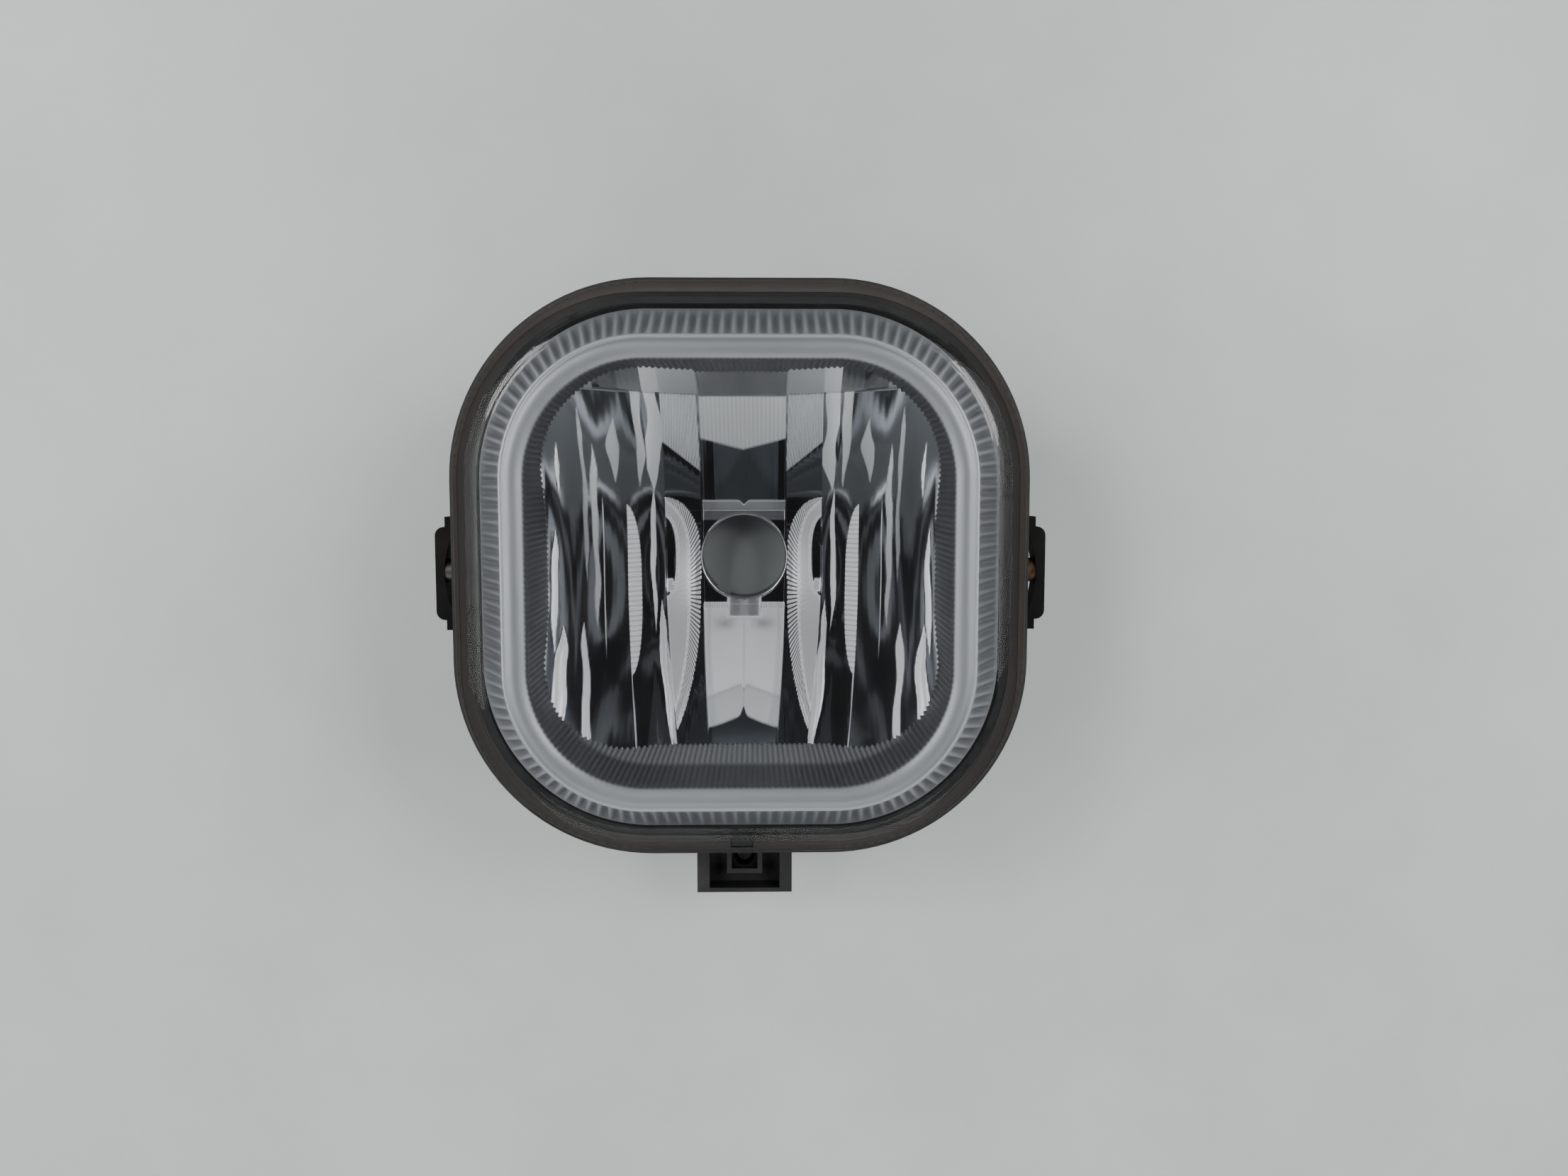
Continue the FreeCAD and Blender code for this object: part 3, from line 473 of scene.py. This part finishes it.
def bezel_ring():
    """Fluted flank, thin border bead, smooth crest and a finely fluted throat, as one thin wall."""
    coarse = flute_wave(BEZEL_STATIONS, FLUTES_ON_SIDE, FLUTES_AT_CORNER)
    fine = flute_wave(BEZEL_STATIONS, FINE_FLUTES, FINE_FLUTES)
    lean = throat_lean(BEZEL_STATIONS)
    rib_highlight = painted_rib_highlights(BEZEL_STATIONS)
    plain = np.ones(len(BEZEL_STATIONS))
    rows = [(FOOT_HALF, FLAT, BEZEL_FOOT)]
    # painted shade on the foot
    tones = [plain * FLANK_SHADE_TONE]
    for i in range(FLANK_STEPS + 1):
        t = i / FLANK_STEPS
        fade = math.sin(math.pi * 0.97 * t) ** 0.4
        half = FLANK_HALF + (SHOULDER_HALF - FLANK_HALF) * t - FLUTE_DEPTH * (1 - coarse) * fade
        rows.append((half, FLAT, FLANK_LOW + (SHOULDER - FLANK_LOW) * t))
        # painted highlights on the flank's ribs and painted shade in its valleys
        tones.append(FLANK_SHADE_TONE + (rib_highlight - FLANK_SHADE_TONE) * (1 - fade + fade * coarse ** 2))
    # border and crest painted in even tones of reflected light
    for profile, tone in ((BORDER, BORDER_TONE), (CREST, CREST_TONE)):
        for half, level in profile:
            rows.append((half * MM, FLAT, BEZEL_TOP + level * MM))
            tones.append(plain * tone)
    for i in range(THROAT_STEPS + 1):
        t = i / THROAT_STEPS
        half = THROAT_HALF - lean * THROAT_LEAN * t - FINE_DEPTH * fine * min(1.0, 3 * t + 0.35)
        rows.append((half, FLAT - lean * THROAT_TUCK * t, THROAT_TOP + (THROAT_END - THROAT_TOP) * t))
        # throat painted dark as shade, lighter on its fine ribs, with a painted light crescent low on its
        # bottom side
        painted_crescent = smooth_step(0.45, 0.55, t) * smooth_step(0.35, 0.9, lean)
        tones.append(THROAT_SHADE_TONE * (0.55 + 0.45 * fine) * (1 + 4.5 * painted_crescent))
    ring = ring_surface("bezel_ring_skin", BEZEL_STATIONS, rows, MATERIALS["satin_metallised"])
    # painted light and shade for satin_metallised to read
    paint(ring, "tone", np.clip(np.array(tones), 0.0, 1.0))
    thickness = ring.modifiers.new("wall", "SOLIDIFY")
    thickness.thickness = BEZEL_WALL
    thickness.offset = -1.0
    return ring


# ---------------------------------------------------------------- reflector

# Lengths in this part are in millimetres: x and y from the bulb axis, heights from the reflector's floor.
# The per-vertex value runs from 0, a mirror darkened as a painted dark reflection, to 1, white as a painted
# highlight; between, it also makes the mirror rougher like satin.

COLUMN_EDGES = (9.6, 17.6, 21.0, 25.4, 30.0, 34.8, 39.0, 46.0)      # at the height of the bulb hole
TOP_SHARE = (0.98, 0.95, 0.95, 0.95, 0.95, 0.96, 0.97, 1.0)         # the same edges near the top
BOTTOM_SHARE = (0.78, 0.78, 0.84, 0.86, 0.88, 0.92, 0.96, 1.0)      # the same edges near the bottom
COLUMN_BULGE = (0.0, 0.0, 0.16, -0.1, 0.12, -0.16, 0.2, -0.15)      # crown of each column
COLUMN_POINTS = (56, 48, 24, 28, 26, 28, 26, 24)                    # points across each column
SHARE_REACH = 35.0                  # height where the edges have moved in by the whole share
FOCAL = 11.5                        # focal length of the bowl
FLOOR_HALF_HEIGHT = 10.6
ROOF = 35.3
ROOF_SLOPE = 2.6
LEDGE = 0.5
BOWL_REACH = 41.5
MOUTH_REACH = 40.6
HOLE_RADIUS = 9.9
ROW_STEP = 0.2

PANEL_END = -35.6                   # middle column: the painted bright panel's lower end and seam, the painted curtain, the painted shelf
SEAM = -30.2
PANEL_TONE = 0.76
BAND_LOW = -12.0
CURTAIN_LOW = 24.4
SHELF_LOW = 8.4
SHELF_HIGH = 13.0
LAND_HALF = 3.9                     # keyed land below the hole
LAND_LOW = -14.1
LAND_HIGH = -8.8
LAND_HEIGHT = 0.5
LAND_SLOPE_START = -11.0
LOBE_TOP = 13.8                     # upper end, lower end and width of the fluted lobe beside the hole
LOBE_BOTTOM = -34.6
LOBE_WIDTH = 0.96
LOBE_RISE = 0.35
# the lobe's painted dark core: its ends and its bulge
LOBE_CORE = (-8.5, 9.5, 0.30)
LOBE_RIBS = 136                     # ribs in a full turn of the lobe's fan
FAN_HEIGHT = -8.0                   # middle of the fan, its width and its place across the column
FAN_WIDTH = 24.0
FAN_PLACE = 1.05
SLANT_HIGH = 25.8                   # lower edge of the painted slanting curtain above the lobe
SLANT_DROP = 6.2
OUTER_LOBE = (-24.0, 12.5, 0.66)    # the painted bright lobe of one outer column: its ends and its bulge
OUTER_LOBE_COLUMN = 3
RIDGED = 0.8                        # ribbons brighter than this stand out as ridges
RIDGE_RISE = 0.22                   # rise of a bright ribbon's ridge, as a share of its width
OUTER_PAINTED_DARK = 0.04                  # the mirror painted dark between the ribbons, as a dark reflection

# Upright ribbons painted as highlights on the outer columns: column, place across it, width, lower and upper
# end, satin and painted light.
RIBBONS = (
    (2, 0.30, 0.34, -38.0, -9.0, 1.0),
    (2, 0.72, 0.30, -16.0, 16.0, 0.70),
    (2, 0.10, 0.22, -42.0, -17.0, 0.62),
    (2, 0.55, 0.90, 15.0, 42.0, 0.52),
    (3, 0.30, 0.40, 16.0, 42.0, 0.42),
    (3, 0.96, 0.07, -42.0, -10.0, 0.60),
    (4, 0.97, 0.06, -20.0, 14.0, 0.70),
    (4, 0.35, 0.50, 17.0, 30.0, 0.40),
    (5, 0.72, 0.26, -40.0, -12.0, 0.62),
    (5, 0.25, 0.22, -14.0, 25.0, 0.50),
    (5, 0.60, 0.14, -4.0, 32.0, 0.36),
    (6, 0.58, 0.42, -38.0, -12.0, 1.0),
    (6, 0.82, 0.22, -18.0, 8.0, 0.86),
    (6, 0.50, 0.16, 14.0, 25.0, 0.96),
    (7, 0.14, 0.16, -30.0, 24.0, 0.46),
    (7, 0.36, 0.12, -26.0, -2.0, 0.66),
    (7, 0.60, 0.10, -14.0, 18.0, 0.30),
)
ROOF_BLOCKS = (0.30, 0.48, 0.62, 0.10, 0.04, 0.22, 0.04, 0.02)      # satin and painted light of the roof band by column


def inside_square(x, y, half):
    """Whether a point lies inside the lamp's rounded square of a half width."""
    flat = FLAT / MM
    beyond = (max(0.0, abs(x) - flat), max(0.0, abs(y) - flat))
    return math.hypot(*beyond) < half - flat


def bowl(x, y):
    """Height of the smooth paraboloid."""
    return (x * x + y * y) / (4 * FOCAL)


def bell(offset, width):
    """1 on a line, falling softly to 0 on both sides of it."""
    return math.exp(-(offset / width) ** 2)


def column_edges(y):
    """Outer edges of the columns at a height y, drawn in towards the top and the bottom."""
    shares = TOP_SHARE if y > 0 else BOTTOM_SHARE
    reach = (y / SHARE_REACH) ** 2
    return [edge * (1 - (1 - share) * reach) for edge, share in zip(COLUMN_EDGES, shares)]


def wander(y, phase, size):
    """Slow uneven drift of a facet's edge along its column."""
    return size * (math.sin(y * 0.23 + phase) + 0.6 * math.sin(y * 0.51 + 2.1 * phase))


def lobe_width(y):
    """Width of the fluted lobe, as a share of its column: blunt above the hole, a long taper below."""
    if y > 0:
        return LOBE_WIDTH * max(0.0, 1 - (y / LOBE_TOP) ** 2.5) ** 0.5
    return LOBE_WIDTH * max(0.0, 1 - (y / LOBE_BOTTOM) ** 3.2) ** 0.85


def lobe(u, y, low, high, bulge):
    """How deep inside a D-shaped lobe a point lies; its flat side is the column's outer edge, at u = 1."""
    middle = (low + high) / 2
    half = (high - low) / 2
    t = (y - middle) / half
    if abs(t) >= 1.0:
        return -1.0
    width = bulge * (1 - abs(t) ** 2.6) ** 0.55
    return u - (1 - width)


def centre_column(x, y):
    """Painted reflections of the middle column: a bright panel below the hole with darker lines and arcs in
    it, a highlight band at its top, and a shelf and a curtain above the hole.
    """
    reach = abs(x) / COLUMN_EDGES[0]
    panel_end = PANEL_END + 2.6 * (1 - reach) ** 1.5 + 1.4 * bell(x, 0.5)
    seam = SEAM + 3.0 * (1 - reach) ** 1.3 - 1.2 * bell(x, 0.5)
    # the painted panel is darker below the seam, along a thin centre line, along the seam itself and in two
    # arcs under the band
    tone = PANEL_TONE - 0.16 * float(smooth_step(seam + 0.4, seam - 0.4, y)) - 0.12 * bell(x, 0.14)
    tone -= 0.20 * bell(y - seam, 0.35) * (0.6 + 0.4 * math.cos(x * 9.0))
    tone -= 0.22 * bell(abs(x) - 4.4, 2.4) * bell(y + 15.2, 1.3)
    panel = tone * between(panel_end, -FLOOR_HALF_HEIGHT, y, 0.3)
    # painted highlight: a bright band at the top of the panel
    band = 0.25 * between(BAND_LOW, -FLOOR_HALF_HEIGHT, y, 0.2) * (0.7 + 0.3 * math.cos(x * 11.0))
    # painted reflections above the hole: a pale curtain high up and a shelf just above the hole
    curtain_end = CURTAIN_LOW + 2.3 * reach
    pleats = 0.9 + 0.1 * math.cos(x * 7.0)
    curtain = 0.62 * float(smooth_step(curtain_end - 0.3, curtain_end + 0.4, y)) * pleats
    shelf_end = SHELF_HIGH - 0.9 * bell(x, 0.7)
    shelf = 0.30 * between(SHELF_LOW, shelf_end, y, 0.15)
    shelf += 0.30 * between(shelf_end - 0.3, shelf_end + 0.1, y, 0.1)
    return float(max(0.0, panel + band + curtain + shelf))


def on_land(x, y):
    """Whether a point lies on the keyed land below the hole."""
    return abs(x) < LAND_HALF and LAND_LOW < y < LAND_HIGH


def land(x, y):
    """Height and painted light of the keyed land: a raised step painted grey, with a painted highlight along
    its outline.
    """
    height = LAND_HEIGHT + 0.55 * max(0.0, LAND_SLOPE_START - y)
    inset = min(LAND_HALF - abs(x), y - LAND_LOW)
    return height, 0.42 + 0.58 * bell(inset - 0.2, 0.25) + 0.05 * math.cos(x * 1.6)


def lobe_column(u, y):
    """Painted light of the column beside the hole: a fluted D-shaped lobe, partly satin and partly painted
    bright, with a painted dark core ringed by a painted highlight, and a painted slanting curtain above it.
    """
    width = lobe_width(y)
    depth = u - (1 - width)
    turn = math.atan2(y - FAN_HEIGHT, FAN_WIDTH * (FAN_PLACE - u))
    ribs = 0.5 + 0.5 * math.cos(turn * LOBE_RIBS)
    value = 0.0
    if width > 0 and depth > 0:
        # painted highlights on the rim's ribs, and a thin painted bright line inside the rim
        rim = 1 - float(smooth_step(0.27, 0.31, depth))
        body = 0.60 + 0.05 * math.cos(turn * LOBE_RIBS * 0.5)
        value = body + rim * (0.10 + 0.90 * ribs - body) + 0.35 * bell(depth - 0.33, 0.025)
        core = lobe(u, y, *LOBE_CORE)
        # painted highlight round the edge of the dark core
        if core > -0.2:
            value += 0.4 * bell(core + 0.03, 0.03)
        # painted dark reflection inside the core, with a painted bright spot at its lower end
        if core > 0:
            value *= 1 - float(smooth_step(0.0, 0.05, core))
            value += between(-7.4, -4.6, y, 0.5) * between(0.80, 0.97, u, 0.03)
    # painted reflection: a pale slanting curtain above the lobe
    curtain_end = SLANT_HIGH - SLANT_DROP * (1 - u)
    value += 0.45 * float(smooth_step(curtain_end - 0.3, curtain_end + 0.3, y)) * (0.6 + 0.4 * ribs)
    return value


def ribbon_column(k, u, y, side):
    """Painted light and relief of the outer columns: upright wandering ribbons painted as highlights on a
    mirror painted dark, the brightest with a real ridge, and one column's painted bright lobe.
    """
    value = OUTER_PAINTED_DARK
    relief = 0.0
    column_width = COLUMN_EDGES[k] - COLUMN_EDGES[k - 1]
    for n, (column, place, width, low, high, brightness) in enumerate(RIBBONS):
        if column != k or not low < y < high:
            continue
        phase = 1.3 * n + 0.8 * side
        taper = min(1.0, (y - low) / 7.0, (high - y) / 5.0)
        spread = 0.5 * width * taper * (1 + wander(y, phase, 0.16))
        offset = u - place - wander(y, phase + 1.0, 0.14 * width)
        value = max(value, brightness * between(-spread, spread, offset, 0.02))
        if brightness > RIDGED and spread > 0:
            crown = max(0.0, 1 - (offset / spread) ** 2)
            relief = max(relief, RIDGE_RISE * 2 * spread * column_width * crown)
    if k == OUTER_LOBE_COLUMN:
        depth = lobe(u, y, *OUTER_LOBE)
        value = max(value, 0.95 * float(smooth_step(0.0, 0.06, depth)) * (0.8 + 0.2 * math.cos(y * 6.0)))
    return float(value), relief


def facet_line(y):
    """Points across the reflector at one y: each its x, its column and its share of the way across it."""
    last_column = len(COLUMN_POINTS) - 1
    half_row = []
    inner = 0.0
    for k, (count, edge) in enumerate(zip(COLUMN_POINTS, column_edges(y))):
        for i in range(count + (k == last_column)):
            u = i / count
            half_row.append((inner + (edge - inner) * u, k, u))
        inner = edge
    return [(-x, k, u) for x, k, u in reversed(half_row[1:])] + half_row


def facet(x, y, k, u):
    """Height and painted light, partly satin, of one point of the reflector."""
    spot_y = min(y, ROOF)
    height = bowl(x, spot_y) + COLUMN_BULGE[k] * (1 - (2 * u - 1) ** 2)
    if k == 0 and on_land(x, y):
        height, satin_and_painted_light = land(x, y)
    elif k == 0:
        rise = max(0.0, abs(spot_y) - FLOOR_HALF_HEIGHT)
        height = rise * (0.62 + 0.0125 * rise)
        satin_and_painted_light = centre_column(x, y)
    elif k == 1:
        height += LOBE_RISE * smooth_step(0.0, 0.15, u - 1 + lobe_width(y))
        satin_and_painted_light = lobe_column(u, y)
    else:
        satin_and_painted_light, ridge = ribbon_column(k, u, y, 1 if x > 0 else -1)
        height += ridge
    if y > ROOF:
        height += LEDGE + (y - ROOF) * ROOF_SLOPE
        satin_and_painted_light = ROOF_BLOCKS[k]
    return float(height), satin_and_painted_light


def reflector():
    """Paraboloid bowl of upright facet columns, with a flat floor round the hole and a steeper roof band."""
    heights = [float(y) for y in np.arange(-BOWL_REACH, BOWL_REACH, ROW_STEP)]
    vertices = []
    values = []
    keep = []
    for y in heights:
        for x, k, u in facet_line(y):
            height, satin_and_painted_light = facet(x, y, k, u)
            vertices.append((x * MM, y * MM, FLOOR_OF_MIRROR + height * MM))
            values.append(satin_and_painted_light)
            keep.append(HOLE_RADIUS < math.hypot(x, y) and inside_square(x, y, MOUTH_REACH))
    keep = np.array(keep).reshape(len(heights), -1)
    faces = grid_faces(*keep.shape, keep=keep)
    vertices, faces, values = drop_loose(vertices, faces, values)
    bowl_mirror = new_object("reflector_mirror", vertices, faces, MATERIALS["bright_metallised"])
    paint(bowl_mirror, "satin_and_painted_light", np.clip(values, 0.0, 1.0))
    return bowl_mirror


# Radius and height of the rolled edge of the bulb hole.
RIM_PROFILE = (
    (10.35, 0.02), (10.2, 0.22), (9.95, 0.3), (9.7, 0.2),
    (9.55, -0.1), (9.5, -1.3), (9.75, -1.35),
)
RIM_SATIN = 0.3


def hole_rim():
    """Rolled edge of the reflector round the bulb hole."""
    around = 96
    angles = [2 * math.pi * n / around for n in range(around)]
    vertices = [
        (radius * MM * math.cos(angle), radius * MM * math.sin(angle), FLOOR_OF_MIRROR + rise * MM)
        for radius, rise in RIM_PROFILE
        for angle in angles
    ]
    faces = grid_faces(len(RIM_PROFILE), around, closed=True)
    edge = new_object("reflector_hole_rim", vertices, faces, MATERIALS["bright_metallised"])
    paint(edge, "satin_and_painted_light", [RIM_SATIN] * len(vertices))
    return edge


# ---------------------------------------------------------------- small pieces

NUB_RADIUS = 0.75 * MM
NUB_BASE = FLANGE_BACK - 0.8 * MM
NUB_PLACE = 14.5 * MM                # nubs from the middle of each side
NUB_HALF = 51.6 * MM                 # nubs from the bulb axis, under the foot of the lens wall


def dome(x, y, base, radius, around=20, up=8):
    """Vertices and faces of half a ball, without its flat bottom."""
    vertices = []
    for i in range(up):
        tilt = 0.5 * math.pi * i / up
        reach = radius * math.cos(tilt)
        for j in range(around):
            angle = 2 * math.pi * j / around
            spot = (x + reach * math.cos(angle), y + reach * math.sin(angle), base + radius * math.sin(tilt))
            vertices.append(spot)
    vertices.append((x, y, base + radius))
    last = (up - 1) * around
    top = up * around
    faces = grid_faces(up, around, closed=True)
    faces += [(last + j, last + (j + 1) % around, top) for j in range(around)]
    return vertices, faces


def shell_nubs():
    """Eight moulded nubs on the shell's flange, under the foot of the lens wall, two on each side."""
    vertices = []
    faces = []
    for quarter in range(4):
        turn = quarter * math.pi / 2
        for side in (1, -1):
            x = NUB_HALF * math.cos(turn) - side * NUB_PLACE * math.sin(turn)
            y = NUB_HALF * math.sin(turn) + side * NUB_PLACE * math.cos(turn)
            start = len(vertices)
            spots, patches = dome(x, y, NUB_BASE, NUB_RADIUS)
            vertices += spots
            faces += [tuple(start + corner for corner in patch) for patch in patches]
    return new_object("shell_nubs", vertices, faces, MATERIALS["black_plastic"])


nubs = shell_nubs()
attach(nubs, "lamp")

rim = hole_rim()
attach(rim, "lamp")

bezel = bezel_ring()
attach(bezel, "lamp")
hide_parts("bezel_ring")

mirror = reflector()
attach(mirror, "lamp")
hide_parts("reflector")


# ---------------------------------------------------------------- CAD nodes that stay

for row in frame["record"]["subparts"]:
    piece = NODES[row["node"]]
    material = MATERIALS[row["material_slot"]]
    piece.data.materials.clear()
    piece.data.materials.append(material)


# ---------------------------------------------------------------- table, light and camera

TABLE_HALF = 3.0


def table():
    """Table top that the lamp lies on."""
    corners = [(-TABLE_HALF, -TABLE_HALF, 0), (TABLE_HALF, -TABLE_HALF, 0),
               (TABLE_HALF, TABLE_HALF, 0), (-TABLE_HALF, TABLE_HALF, 0)]
    mesh = bpy.data.meshes.new("table")
    mesh.from_pydata(corners, [], [(0, 1, 2, 3)])
    mesh.materials.append(table_top())
    top = bpy.data.objects.new("table", mesh)
    bpy.context.scene.collection.objects.link(top)
    return top


# Room light: height of the direction, from level to straight up, and its colour.
SKY = (
    (0.0, (0.50, 0.51, 0.51)),
    (0.60, (0.42, 0.43, 0.43)),
    (0.80, (0.30, 0.31, 0.31)),
    (0.86, (0.03, 0.033, 0.037)),
    (1.0, (0.012, 0.014, 0.017)),
)


def sky():
    """Room light: dark straight above, pale towards the horizon."""
    world = bpy.data.worlds.new("room")
    bpy.context.scene.world = world
    world.use_nodes = True
    nodes = world.node_tree.nodes
    links = world.node_tree.links
    nodes.clear()
    output = nodes.new("ShaderNodeOutputWorld")
    background = nodes.new("ShaderNodeBackground")
    where = nodes.new("ShaderNodeTexCoord")
    split = nodes.new("ShaderNodeSeparateXYZ")
    links.new(where.outputs["Generated"], split.inputs["Vector"])
    tone = ramp(nodes, links, split.outputs["Z"], SKY)
    links.new(tone.outputs["Color"], background.inputs["Color"])
    background.inputs["Strength"].default_value = 1.0
    links.new(background.outputs["Background"], output.inputs["Surface"])


AIM = (0, 0, 0.05)                   # where every lamp points
LAMPS = (                            # name, place, width and height, power in watts
    ("left_bank", (-0.9, 0.1, 0.7), (0.9, 1.2), 19.0),
    ("right_bank", (0.9, 0.2, 0.7), (0.9, 1.2), 17.0),
    ("front_bank", (0.0, -1.0, 0.8), (1.4, 0.7), 10.5),
    ("upper_left", (-0.54, 0.36, 0.95), (0.25, 0.25), 4.5),
    ("upper_right", (0.57, 0.31, 0.95), (0.25, 0.25), 4.5),
)


def area_light(name, place, size, power):
    """Rectangular lamp that points at the object."""
    light = bpy.data.lights.new(name, "AREA")
    light.shape = "RECTANGLE"
    light.size = size[0]
    light.size_y = size[1]
    light.energy = power
    lamp = bpy.data.objects.new(name, light)
    lamp.location = place
    lamp.rotation_euler = (Vector(AIM) - Vector(place)).to_track_quat("-Z", "Y").to_euler()
    bpy.context.scene.collection.objects.link(lamp)
    return lamp


TILT = 0.090                         # radians, the camera's lean towards the lamp's top edge
SWING = 0.020                        # radians, its lean to the side
DISTANCE = 235.0 * MM                # from the front of the lens flange
LENS_MM = 27.83
SENSOR_MM = 36.0
OFFSET_RIGHT = 8.30 * MM
OFFSET_UP = 3.21 * MM


def camera():
    """Camera above the lamp, tipped a little towards its top edge."""
    data = bpy.data.cameras.new("camera")
    data.sensor_width = SENSOR_MM
    data.lens = LENS_MM
    data.clip_start = 0.01
    eye = bpy.data.objects.new("camera", data)
    turn = Matrix.Rotation(-SWING, 3, "Y") @ Matrix.Rotation(-TILT, 3, "X")
    right, up, back = (turn @ Vector(axis) for axis in ((1, 0, 0), (0, 1, 0), (0, 0, 1)))
    middle = Vector((0, 0, FLANGE_FRONT))
    eye.matrix_world = Matrix.Translation(
        middle + right * OFFSET_RIGHT - up * OFFSET_UP + back * DISTANCE
    ) @ turn.to_4x4()
    bpy.context.scene.collection.objects.link(eye)
    bpy.context.scene.camera = eye


table()
sky()
for row in LAMPS:
    area_light(*row)
camera()
